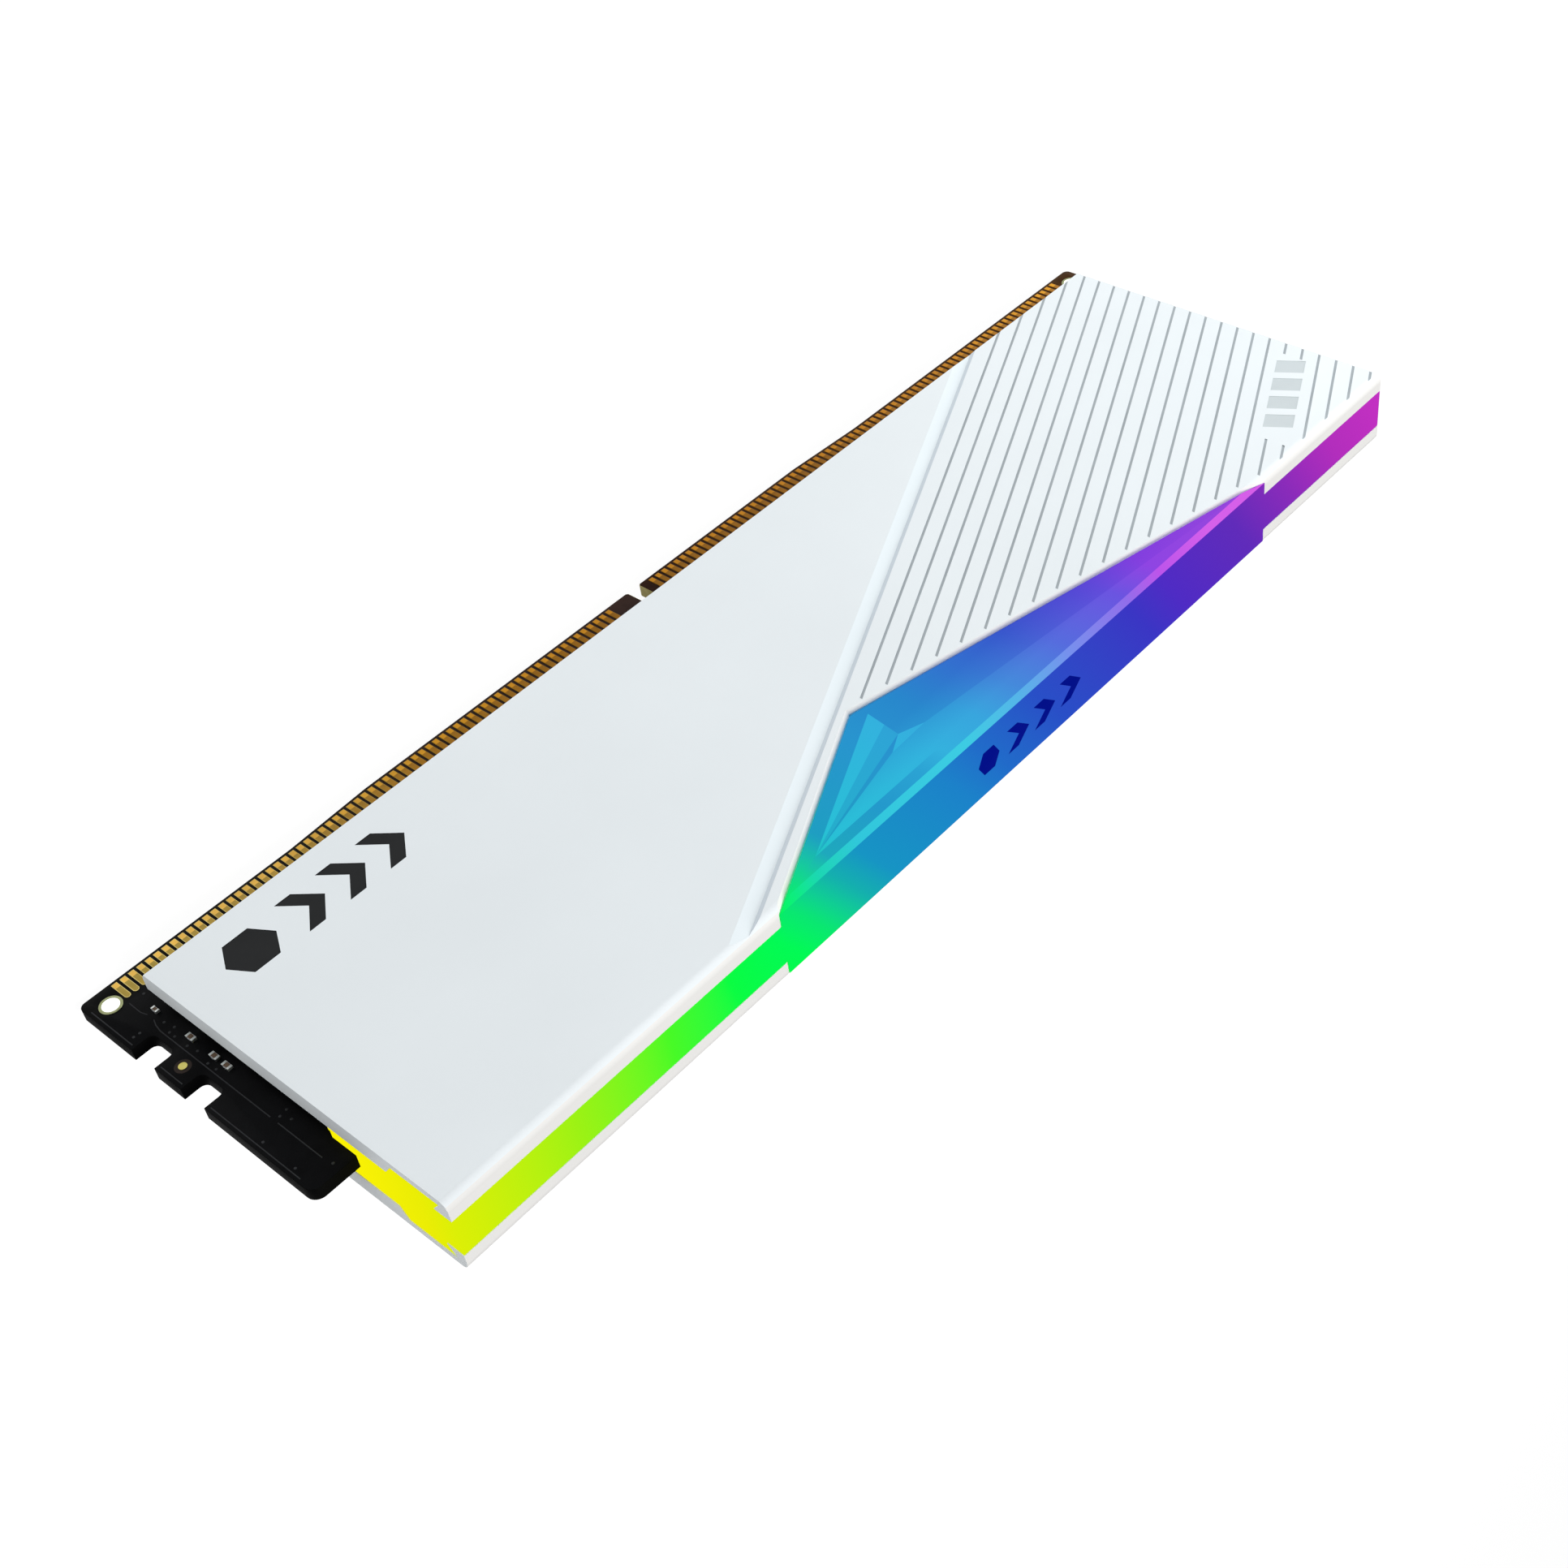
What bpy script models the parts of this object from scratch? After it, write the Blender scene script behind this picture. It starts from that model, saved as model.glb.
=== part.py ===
"""DDR5 desktop memory module with clamshell heat spreaders and a lit acrylic bar.

Metres, +Z up. The module stands on its contact edge. X runs along its length, the front plate
faces -Y, and the origin is the middle of the contact edge's lowest stretch.
"""

import math

import bmesh
import bpy

MM = 0.001

# Circuit board, to the 288-pin DDR5 outline.
BOARD_LENGTH = 133.35
BOARD_HEIGHT = 31.25
BOARD_THICK = 1.27
BOARD_HALF = BOARD_LENGTH / 2
EDGE_STEP = 0.5           # the outer contacts sit this much higher than the middle ones
EDGE_LOW_FROM = -21.5     # the low stretch of the contact edge runs between these two
EDGE_LOW_TO = 35.5
EDGE_RAMP = 9.0
FOOT_RADIUS = 0.6
SHOULDER_RADIUS = 1.05
KEY_X = 1.675
KEY_WIDTH = 1.5
KEY_DEPTH = 4.0
KEY_CHAMFER = 0.2
LATCH_DEPTH = 2.12
LATCH_SPANS = ((8.05, 11.15), (14.72, 17.78))
LATCH_RADIUS = 0.65
HOLE_X = 64.85
HOLE_Z = 2.6
HOLE_RADIUS = 0.87
EYELET_BORE = 0.77
LAND_RADIUS = 1.06
LAND_THICK = 0.04

# Gold contacts, front and back.
PITCH = 0.85
CONTACT_WIDTH = 0.6
CONTACT_THICK = 0.05
CONTACT_FIRST = 63.325    # centre of the outermost contact
CONTACTS_SHORT_SIDE = 69  # between the +X end and the key
CONTACTS_LONG_SIDE = 75   # between the key and the -X end
CONTACT_SETBACK = 0.33
CONTACT_TOP = 3.1
TIE_HEIGHT = 0.2

# Heat spreaders.
PLATE_HALF = 62.4
PLATE_OUTER = 3.95        # outer face from the mid-plane
PLATE_INNER = 2.1
THIN_INNER = 3.25
PLATE_FOOT = 5.1
PLATE_FACE_FOOT = 5.45
PLATE_FOOT_INSET = 0.55
TOP = 42.7
TOP_RADIUS = 0.85
STEP_LOW = 35.3
STEP_HIGH = 36.15
BARB_HIGH = 41.65
BARB_LOW = 40.75

# The V groove and the engraved hairlines, both rising toward +X.
GROOVE_RISE = 0.5
GROOVE_AT_ZERO = 27.3
GROOVE_DEPTH = 0.55
GROOVE_PLAIN_SIDE = 0.88
GROOVE_LINED_SIDE = 0.62
LINE_RISE = 0.495
LINE_FIRST = 29.54
LINE_STEP = 1.948
LINE_COUNT = 23
LINE_HALF_WIDTH = 0.14
LINE_DEPTH = 0.09
LINE_TOP_MARGIN = 0.45
LINE_WINDOW_MARGIN = 0.8
BADGE_LINES = (17, 18)
BADGE_FROM = -60.6
BADGE_TO = -47.2

# The crystal's corner points on the plate face, and its bevel.
CRYSTAL_APEX = (5.92, 31.84)
CRYSTAL_RIGHT = 26.95
CRYSTAL_LEFT = -41.75
CRYSTAL_BEVEL = 0.4
CLEAR = 0.05

# Light bar.
BAR_HALF = 62.35
BAR_CORE = 2.04
BAR_FLANGE = 3.2
BAR_FOOT = 28.3
BAR_LEG_INNER = 1.62
END_BLOCK = 3.0

# Parts on the board.
MOUNT_GAP = 0.02
CHIP_SIZE = (8.0, 11.5)
CHIP_THICK = 0.93
CHIP_Z = 17.6
CHIP_XS = (-51.4, -39.2, -27.0, -14.8, 14.8, 27.0, 39.2, 51.4)
PAD_THICK = 0.42
PAD_HALF_LENGTH = 57.5
PAD_SPAN = (11.4, 23.8)
LED_COUNT = 8
LED_SPACING = 15.2
ROW_PARTS = (-51.0, -39.6, -28.3, 29.3, 40.5, 51.9)
ROW_Z = 4.9
EAR_PARTS = (              # x, z, width and height of each small part on the board's end
    (62.93, 6.24, 0.38, 0.76),
    (62.92, 11.12, 0.5, 0.94),
    (62.96, 14.33, 0.5, 0.94),
    (62.96, 15.97, 0.5, 0.94),
)
EAR_PART_THICK = 0.28
TAB_PAD = (65.12, 12.93)
TAB_PAD_RADIUS = 0.38
POWER_CHIP_Z = 17.6       # the power controller sits between the fourth and fifth memory chips
UPPER_ROW_Z = 26.2        # coils and the lighting driver, above the thermal pad
COIL_XS = (-6.0, 0.0, 6.0)


def material(name, rgb, metallic, roughness):
    made = bpy.data.materials.new(name)
    made.use_nodes = True
    shader = made.node_tree.nodes["Principled BSDF"]
    shader.inputs["Base Color"].default_value = (rgb[0], rgb[1], rgb[2], 1.0)
    shader.inputs["Metallic"].default_value = metallic
    shader.inputs["Roughness"].default_value = roughness
    made.diffuse_color = (rgb[0], rgb[1], rgb[2], 1.0)
    return made


def new_object(name, mesh_data, mat):
    mesh = bpy.data.meshes.new(name)
    bmesh.ops.recalc_face_normals(mesh_data, faces=mesh_data.faces[:])
    mesh_data.to_mesh(mesh)
    mesh_data.free()
    obj = bpy.data.objects.new(name, mesh)
    bpy.context.scene.collection.objects.link(obj)
    if mat is not None:
        mesh.materials.append(mat)
    return obj


def place(axis, along, first, second):
    """A point given by its two outline coordinates and its position along the extrusion axis."""
    if axis == "x":
        return (along * MM, first * MM, second * MM)
    if axis == "y":
        return (first * MM, along * MM, second * MM)
    return (first * MM, second * MM, along * MM)


def add_loft(bm, axis, outline_a, at_a, outline_b, at_b):
    """A closed body between two outlines with the same number of corners."""
    low = [bm.verts.new(place(axis, at_a, p, q)) for p, q in outline_a]
    high = [bm.verts.new(place(axis, at_b, p, q)) for p, q in outline_b]
    bm.faces.new(low)
    bm.faces.new(reversed(high))
    count = len(low)
    for i in range(count):
        j = (i + 1) % count
        bm.faces.new((low[j], low[i], high[i], high[j]))


def prism(name, axis, outline, start, end, mat):
    bm = bmesh.new()
    add_loft(bm, axis, outline, start, outline, end)
    return new_object(name, bm, mat)


def box(name, x0, x1, y0, y1, z0, z1, mat):
    outline = [(x0, z0), (x1, z0), (x1, z1), (x0, z1)]
    return prism(name, "y", outline, y0, y1, mat)


def combine(obj, other, operation):
    """A Boolean with a second mesh that isn't part of the model itself."""
    step = obj.modifiers.new(operation.title(), "BOOLEAN")
    step.operation = operation
    step.solver = "EXACT"
    step.object = other
    other.hide_render = True
    other.display_type = "WIRE"


def arc(cx, cz, radius, start, end, steps):
    """Points on an arc, angles in degrees."""
    points = []
    for i in range(steps + 1):
        angle = math.radians(start + (end - start) * i / steps)
        points.append((cx + radius * math.cos(angle), cz + radius * math.sin(angle)))
    return points


def edge_height(x):
    """How high the curved contact edge lies at x."""
    if x < EDGE_LOW_FROM:
        return EDGE_STEP * min(1.0, (EDGE_LOW_FROM - x) / EDGE_RAMP)
    if x > EDGE_LOW_TO:
        return EDGE_STEP * min(1.0, (x - EDGE_LOW_TO) / EDGE_RAMP)
    return 0.0


def latch_side():
    """The +X end of the board from foot to shoulder, with its two latch notches."""
    points = arc(BOARD_HALF - FOOT_RADIUS, EDGE_STEP + FOOT_RADIUS, FOOT_RADIUS, -90, 0, 4)
    floor = BOARD_HALF - LATCH_DEPTH
    for low, high in LATCH_SPANS:
        points.append((BOARD_HALF, low))
        points += arc(floor + LATCH_RADIUS, low + LATCH_RADIUS, LATCH_RADIUS, 270, 180, 4)
        points += arc(floor + LATCH_RADIUS, high - LATCH_RADIUS, LATCH_RADIUS, 180, 90, 4)
        points.append((BOARD_HALF, high))
    points += arc(BOARD_HALF - SHOULDER_RADIUS, BOARD_HEIGHT - SHOULDER_RADIUS, SHOULDER_RADIUS, 0, 90, 5)
    return points


def board_outline():
    """Counter-clockwise outline of the board seen from the front."""
    half_key = KEY_WIDTH / 2
    right = latch_side()
    left = [(-x, z) for x, z in reversed(right)]
    bottom = [
        (EDGE_LOW_FROM - EDGE_RAMP, EDGE_STEP),
        (EDGE_LOW_FROM, 0.0),
        (KEY_X - half_key - KEY_CHAMFER, 0.0),
        (KEY_X - half_key, KEY_CHAMFER),
    ]
    bottom += arc(KEY_X, KEY_DEPTH - half_key, half_key, 180, 0, 8)
    bottom += [
        (KEY_X + half_key, KEY_CHAMFER),
        (KEY_X + half_key + KEY_CHAMFER, 0.0),
        (EDGE_LOW_TO, 0.0),
        (EDGE_LOW_TO + EDGE_RAMP, EDGE_STEP),
    ]
    return bottom + right + left


def circle(cx, cz, radius, steps):
    return arc(cx, cz, radius, 0, 360, steps)[:-1]


def build_board(mat):
    board = prism("board", "y", board_outline(), -BOARD_THICK / 2, BOARD_THICK / 2, mat)
    bm = bmesh.new()
    for side in (-1, 1):
        hole = circle(side * HOLE_X, HOLE_Z, HOLE_RADIUS, 24)
        add_loft(bm, "y", hole, -2.0, hole, 2.0)
    combine(board, new_object("hole_cutter", bm, None), "DIFFERENCE")


def contact_outline(first_x, count, direction):
    """A row of contacts, joined along their upper ends so that the row is one piece."""
    half = CONTACT_WIDTH / 2
    points = []
    for i in range(count):
        x = first_x + direction * i * PITCH
        foot = edge_height(x) + CONTACT_SETBACK
        points += [
            (x - direction * half, CONTACT_TOP - TIE_HEIGHT),
            (x - direction * half, foot + 0.12),
            (x - direction * (half - 0.12), foot),
            (x + direction * (half - 0.12), foot),
            (x + direction * half, foot + 0.12),
            (x + direction * half, CONTACT_TOP - TIE_HEIGHT),
        ]
    last_x = first_x + direction * ((count - 1) * PITCH + half)
    points.append((last_x, CONTACT_TOP))
    points.append((first_x - direction * half, CONTACT_TOP))
    return points


def build_contacts(mat):
    near = BOARD_THICK / 2 + MOUNT_GAP
    far = near + CONTACT_THICK
    rows = (
        ("short", CONTACT_FIRST, CONTACTS_SHORT_SIDE, -1),
        ("long", -CONTACT_FIRST, CONTACTS_LONG_SIDE, 1),
    )
    for label, first_x, count, direction in rows:
        outline = contact_outline(first_x, count, direction)
        prism("contacts_front_" + label, "y", outline, -far, -near, mat)
        prism("contacts_back_" + label, "y", outline, near, far, mat)


def window_edge(x):
    """Height of the crystal's long lower edge, left of its apex."""
    rise = (TOP - CRYSTAL_APEX[1]) / (CRYSTAL_LEFT - CRYSTAL_APEX[0])
    return CRYSTAL_APEX[1] + rise * (x - CRYSTAL_APEX[0])


def plate_profile():
    """Cross-section of the front plate as (y, z)."""
    points = [
        (-PLATE_INNER, PLATE_FOOT),
        (-PLATE_INNER, STEP_LOW),
        (-THIN_INNER, STEP_HIGH),
        (-THIN_INNER, BARB_HIGH),
        (-PLATE_INNER - 0.05, BARB_LOW),
        (-PLATE_INNER, BARB_LOW + 0.1),
        (-PLATE_INNER, TOP),
    ]
    points += arc(-PLATE_OUTER + TOP_RADIUS, TOP - TOP_RADIUS, TOP_RADIUS, 90, 180, 6)
    points += [
        (-PLATE_OUTER, PLATE_FACE_FOOT),
        (-PLATE_OUTER + PLATE_FOOT_INSET, PLATE_FOOT),
    ]
    return points


def hairline_spans():
    """Each engraved line as (index, start x, end x), broken where the badge sits."""
    spans = []
    window_rise = (TOP - CRYSTAL_APEX[1]) / (CRYSTAL_LEFT - CRYSTAL_APEX[0])
    for n in range(LINE_COUNT):
        height = LINE_FIRST + LINE_STEP * n
        start = max(-PLATE_HALF - 0.3, (PLATE_FOOT - height) / LINE_RISE)
        to_top = (TOP - LINE_TOP_MARGIN - height) / LINE_RISE
        window_zero = window_edge(0.0) - LINE_WINDOW_MARGIN
        to_window = (window_zero - height) / (LINE_RISE - window_rise)
        end = min(to_top, to_window)
        if n in BADGE_LINES:
            spans.append((n, start, BADGE_FROM))
            spans.append((n, BADGE_TO, end))
        else:
            spans.append((n, start, end))
    return spans


def build_plate(name, side, mat):
    """side -1 is the front plate, +1 the back plate."""
    profile = [(-side * y, z) for y, z in plate_profile()]
    plate = prism(name, "x", profile, -PLATE_HALF, PLATE_HALF, mat)
    slack = CLEAR * 1.6
    window = [
        (CRYSTAL_APEX[0], CRYSTAL_APEX[1] - slack),
        (CRYSTAL_RIGHT + 4 * slack, TOP + 0.0 + slack),
        (CRYSTAL_RIGHT + 2.2, TOP + 1.2),
        (CRYSTAL_LEFT - 5.0, TOP + 1.2),
        (CRYSTAL_LEFT - 5 * slack, TOP + slack),
    ]
    cut = prism(name + "_window", "y", window, side * 1.0, side * 6.0, None)
    combine(plate, cut, "DIFFERENCE")
    proud = 0.35
    floor_y = side * (PLATE_OUTER - GROOVE_DEPTH)
    open_y = side * (PLATE_OUTER + proud)
    plain = GROOVE_PLAIN_SIDE * (1 + proud / GROOVE_DEPTH)
    lined = GROOVE_LINED_SIDE * (1 + proud / GROOVE_DEPTH)
    sections = []
    for x in (-56.0, 44.0):
        z = GROOVE_AT_ZERO + GROOVE_RISE * x
        sections.append([(floor_y, z), (open_y, z - plain), (open_y, z + lined)])
    bm = bmesh.new()
    add_loft(bm, "x", sections[0], -56.0, sections[1], 44.0)
    combine(plate, new_object(name + "_groove", bm, None), "DIFFERENCE")
    bm = bmesh.new()
    for n, start, end in hairline_spans():
        low = LINE_FIRST + LINE_STEP * n + LINE_RISE * start
        high = LINE_FIRST + LINE_STEP * n + LINE_RISE * end
        outline = [
            (start, low - LINE_HALF_WIDTH),
            (end, high - LINE_HALF_WIDTH),
            (end, high + LINE_HALF_WIDTH),
            (start, low + LINE_HALF_WIDTH),
        ]
        deep = side * (PLATE_OUTER - LINE_DEPTH)
        add_loft(bm, "y", outline, deep, outline, side * (PLATE_OUTER + 0.2))
    combine(plate, new_object(name + "_lines", bm, None), "DIFFERENCE")


def bar_profile():
    """Cross-section of the light bar as (y, z), symmetric about the board."""
    half = [
        (BAR_LEG_INNER, BOARD_HEIGHT + CLEAR),
        (BAR_LEG_INNER, BAR_FOOT),
        (BAR_CORE, BAR_FOOT),
        (BAR_CORE, STEP_LOW + 0.04),
        (BAR_FLANGE, STEP_HIGH + 0.04),
        (BAR_FLANGE, BARB_HIGH - 0.13),
        (BAR_CORE, BARB_LOW - 0.17),
        (BAR_CORE, TOP - 0.12),
        (BAR_CORE - 0.12, TOP),
    ]
    return half + [(-y, z) for y, z in reversed(half)]


def build_bar_with_crystals(mat):
    """Bar, crystals, and the solid blocks that close the legs at both ends."""
    bar = prism("light_bar", "x", bar_profile(), -BAR_HALF, BAR_HALF, mat)
    b = CRYSTAL_BEVEL
    inner = [CRYSTAL_APEX, (CRYSTAL_RIGHT, TOP), (CRYSTAL_LEFT, TOP)]
    outer = [
        (CRYSTAL_APEX[0], CRYSTAL_APEX[1] + b * 1.1),
        (CRYSTAL_RIGHT - b * 2.9, TOP - b),
        (CRYSTAL_LEFT + b * 6.4, TOP - b),
    ]
    bm = bmesh.new()
    for side in (-1, 1):
        levels = (
            (inner, side * (BAR_CORE - 0.3)),
            (inner, side * (PLATE_OUTER - b)),
            (outer, side * PLATE_OUTER),
        )
        rings = []
        for outline, y in levels:
            rings.append([bm.verts.new(place("y", y, p, q)) for p, q in outline])
        bm.faces.new(rings[0])
        bm.faces.new(reversed(rings[2]))
        for low, high in ((rings[0], rings[1]), (rings[1], rings[2])):
            for i in range(3):
                j = (i + 1) % 3
                bm.faces.new((low[j], low[i], high[i], high[j]))
    combine(bar, new_object("crystals", bm, None), "UNION")
    near = BOARD_THICK / 2 + CLEAR
    for label, start in (("right", BAR_HALF - END_BLOCK), ("left", -BAR_HALF + 0.05)):
        for side in (-1, 1):
            y0 = side * near
            y1 = side * (BAR_CORE - 0.15)
            block = box(
                "block_%s_%s" % (label, "front" if side < 0 else "back"),
                start, start + END_BLOCK - 0.05,
                min(y0, y1), max(y0, y1),
                BAR_FOOT + 0.05, BOARD_HEIGHT + 0.6,
                None,
            )
            combine(bar, block, "UNION")


def on_board(name, x, z, width, height, thick, side, mat, chamfer=0.0):
    """A part lying on the board; side -1 is the front."""
    near = BOARD_THICK / 2 + MOUNT_GAP
    w = width / 2
    h = height / 2
    c = chamfer
    if c > 0:
        base = [(x - w, z - h), (x + w, z - h), (x + w, z + h), (x - w, z + h)]
        cap = [(x - w + c, z - h + c), (x + w - c, z - h + c), (x + w - c, z + h - c), (x - w + c, z + h - c)]
        bm = bmesh.new()
        rings = []
        for outline, y in ((base, near), (base, near + thick - c), (cap, near + thick)):
            rings.append([bm.verts.new(place("y", side * y, p, q)) for p, q in outline])
        bm.faces.new(rings[0])
        bm.faces.new(reversed(rings[2]))
        for low, high in ((rings[0], rings[1]), (rings[1], rings[2])):
            for i in range(4):
                j = (i + 1) % 4
                bm.faces.new((low[j], low[i], high[i], high[j]))
        return new_object(name, bm, mat)
    y0 = side * near
    y1 = side * (near + thick)
    return box(name, x - w, x + w, min(y0, y1), max(y0, y1), z - h, z + h, mat)


def build_eyelet(name, cx, mat):
    """Plated hole: a barrel through the board with a thin land on each face."""
    land = BOARD_THICK / 2 + MOUNT_GAP
    face = land + LAND_THICK
    barrel = HOLE_RADIUS - 0.03
    profile = [
        (EYELET_BORE, -face), (LAND_RADIUS, -face), (LAND_RADIUS, -land), (barrel, -land),
        (barrel, land), (LAND_RADIUS, land), (LAND_RADIUS, face), (EYELET_BORE, face),
    ]
    steps = 24
    bm = bmesh.new()
    rings = []
    for i in range(steps):
        angle = 2 * math.pi * i / steps
        ring = []
        for radius, y in profile:
            x = cx + radius * math.cos(angle)
            z = HOLE_Z + radius * math.sin(angle)
            ring.append(bm.verts.new((x * MM, y * MM, z * MM)))
        rings.append(ring)
    count = len(profile)
    for i in range(steps):
        a = rings[i]
        b = rings[(i + 1) % steps]
        for k in range(count):
            m = (k + 1) % count
            bm.faces.new((a[k], b[k], b[m], a[m]))
    made = new_object(name, bm, mat)
    made.data.shade_smooth()
    return made


for old in list(bpy.data.objects):
    bpy.data.objects.remove(old)

BOARD_MAT = material("board_mat", (0.012, 0.012, 0.014), 0.0, 0.42)
GOLD_MAT = material("contact_mat", (0.76, 0.42, 0.05), 1.0, 0.26)
LAND_MAT = material("land_mat", (0.42, 0.36, 0.18), 1.0, 0.35)
PLATE_MAT = material("plate_front_mat", (0.76, 0.79, 0.81), 0.35, 0.38)
PLATE_BACK_MAT = material("plate_back_mat", (0.74, 0.77, 0.80), 0.35, 0.38)
BAR_MAT = material("light_bar_mat", (0.20, 0.55, 0.72), 0.0, 0.18)
PAD_MAT = material("thermal_pad_mat", (0.38, 0.42, 0.47), 0.0, 0.8)
CHIP_MAT = material("chip_mat", (0.03, 0.03, 0.032), 0.0, 0.5)
SPD_MAT = material("spd_mat", (0.025, 0.025, 0.028), 0.0, 0.45)
DRIVER_MAT = material("driver_mat", (0.02, 0.022, 0.03), 0.0, 0.45)
LED_MAT = material("led_mat", (0.85, 0.86, 0.80), 0.0, 0.3)
PASSIVE_MAT = material("passive_mat", (0.30, 0.20, 0.12), 0.0, 0.5)
COIL_MAT = material("coil_mat", (0.09, 0.09, 0.095), 0.3, 0.6)
EAR_MAT = material("ear_part_mat", (0.55, 0.53, 0.50), 0.6, 0.4)

build_board(BOARD_MAT)
build_contacts(GOLD_MAT)
build_plate("heat_spreader_front", -1, PLATE_MAT)
build_plate("heat_spreader_back", 1, PLATE_BACK_MAT)
build_bar_with_crystals(BAR_MAT)

chip_face = BOARD_THICK / 2 + MOUNT_GAP + CHIP_THICK
pad_near = chip_face + 0.03
for side_label, side in (("front", -1), ("back", 1)):
    near = side * pad_near
    far = side * (pad_near + PAD_THICK)
    box(
        "thermal_pad_" + side_label,
        -PAD_HALF_LENGTH, PAD_HALF_LENGTH,
        min(near, far), max(near, far),
        PAD_SPAN[0], PAD_SPAN[1],
        PAD_MAT,
    )
    for number, chip_x in enumerate(CHIP_XS, start=1):
        chip = "dram_%s_%d" % (side_label, number)
        on_board(chip, chip_x, CHIP_Z, CHIP_SIZE[0], CHIP_SIZE[1], CHIP_THICK, side, CHIP_MAT, 0.1)

on_board("pmic", 0.0, POWER_CHIP_Z, 5.0, 5.0, 0.75, -1, DRIVER_MAT, 0.08)
on_board("spd_hub", -6.4, 13.2, 3.0, 2.0, 0.75, -1, SPD_MAT, 0.08)
on_board("led_driver", -20.0, UPPER_ROW_Z, 4.0, 3.2, 0.75, -1, DRIVER_MAT, 0.08)
for number, coil_x in enumerate(COIL_XS, start=1):
    on_board("inductor_%d" % number, coil_x, UPPER_ROW_Z, 2.5, 2.0, 1.2, -1, COIL_MAT, 0.12)

for number in range(LED_COUNT):
    led_x = (number - (LED_COUNT - 1) / 2) * LED_SPACING
    on_board("led_%d" % (number + 1), led_x, 29.9, 2.4, 1.4, 0.85, -1, LED_MAT, 0.1)

for number, part_x in enumerate(ROW_PARTS, start=1):
    on_board("capacitor_%d" % number, part_x, ROW_Z, 1.0, 0.5, 0.45, -1, PASSIVE_MAT, 0.05)

for number, (part_x, part_z, width, height) in enumerate(EAR_PARTS, start=1):
    on_board("resistor_%d" % number, part_x, part_z, width, height, EAR_PART_THICK, -1, EAR_MAT, 0.03)

build_eyelet("eyelet_right", HOLE_X, LAND_MAT)
build_eyelet("eyelet_left", -HOLE_X, LAND_MAT)

pad_disc = circle(TAB_PAD[0], TAB_PAD[1], TAB_PAD_RADIUS, 20)
disc_near = BOARD_THICK / 2 + MOUNT_GAP
prism("test_pad_front", "y", pad_disc, -disc_near - 0.04, -disc_near, GOLD_MAT)
prism("test_pad_back", "y", pad_disc, disc_near, disc_near + 0.04, GOLD_MAT)
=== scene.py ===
import math

import bmesh
import bpy
from mathutils import Matrix, Vector


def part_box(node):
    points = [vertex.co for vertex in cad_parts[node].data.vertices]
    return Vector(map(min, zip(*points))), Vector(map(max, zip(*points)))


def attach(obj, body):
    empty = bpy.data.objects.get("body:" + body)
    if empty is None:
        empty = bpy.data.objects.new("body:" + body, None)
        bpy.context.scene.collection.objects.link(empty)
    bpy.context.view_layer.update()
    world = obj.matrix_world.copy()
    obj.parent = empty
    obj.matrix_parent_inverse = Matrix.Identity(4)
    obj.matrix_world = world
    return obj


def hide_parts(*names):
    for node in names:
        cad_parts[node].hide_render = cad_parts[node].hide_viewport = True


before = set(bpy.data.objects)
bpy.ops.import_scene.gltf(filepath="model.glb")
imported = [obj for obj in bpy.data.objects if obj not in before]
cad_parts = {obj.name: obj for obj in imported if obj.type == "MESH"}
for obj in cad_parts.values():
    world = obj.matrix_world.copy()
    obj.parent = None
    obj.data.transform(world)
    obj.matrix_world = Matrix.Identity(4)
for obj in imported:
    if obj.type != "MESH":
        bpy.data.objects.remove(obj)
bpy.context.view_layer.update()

MM = 0.001

# ---------------------------------------------------------------- sizes, in millimetres
BOARD_HALF, BOARD_TOP, BOARD_FACE = 66.675, 31.25, 0.635
PLATE_HALF, PLATE_OUTER, PLATE_INNER, THIN_INNER = 62.4, 3.95, 2.1, 3.25
PLATE_FOOT, FACE_FOOT, FOOT_INSET = 5.1, 5.45, 0.55
TOP, TOP_RADIUS = 42.7, 0.85
STEP_LOW, STEP_HIGH, BARB_HIGH, BARB_LOW = 35.3, 36.15, 41.65, 40.75
APEX, RIGHT, LEFT = (5.92, 31.84), 26.95, -41.75
GROOVE_RISE, GROOVE_ZERO, GROOVE_DEPTH = 0.5, 27.3, 0.24
GROOVE_PLAIN, GROOVE_LINED = 1.35, 0.48
LINE_RISE, LINE_FIRST, LINE_STEP, LINE_COUNT = 0.495, 29.54, 1.948, 23
BAR_HALF, BAR_CORE, BAR_FLANGE, BAR_FOOT = 62.35, 2.04, 3.2, 28.3
BADGE_FROM, BADGE_TO = -60.6, -47.2
KEY_X, KEY_WIDTH = 1.675, 1.5
HOLE_X, HOLE_Z, HOLE_RADIUS = 64.85, 2.6, 0.87
TAB_PAD_X, TAB_PAD_Z = 65.12, 12.93
PITCH, CONTACT_FIRST, SHORT_COUNT, LONG_COUNT = 0.85, 63.325, 69, 75
SKIN = 0.001            # how far a part laid on the board stands off its face
LINE_HALF, LINE_DEPTH, MARK_DEPTH, CUT_CLEAR = 0.14, 0.07, 0.03, 0.2
COLOUR_SPAN = 80.0      # colour bands are given within this distance of the middle
BUMP_DISTANCE = 0.00002  # in metres


# ---------------------------------------------------------------- mesh helpers
def place(axis, along, p, q):
    if axis == "x":
        return (along * MM, p * MM, q * MM)
    if axis == "y":
        return (p * MM, along * MM, q * MM)
    return (p * MM, q * MM, along * MM)


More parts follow.
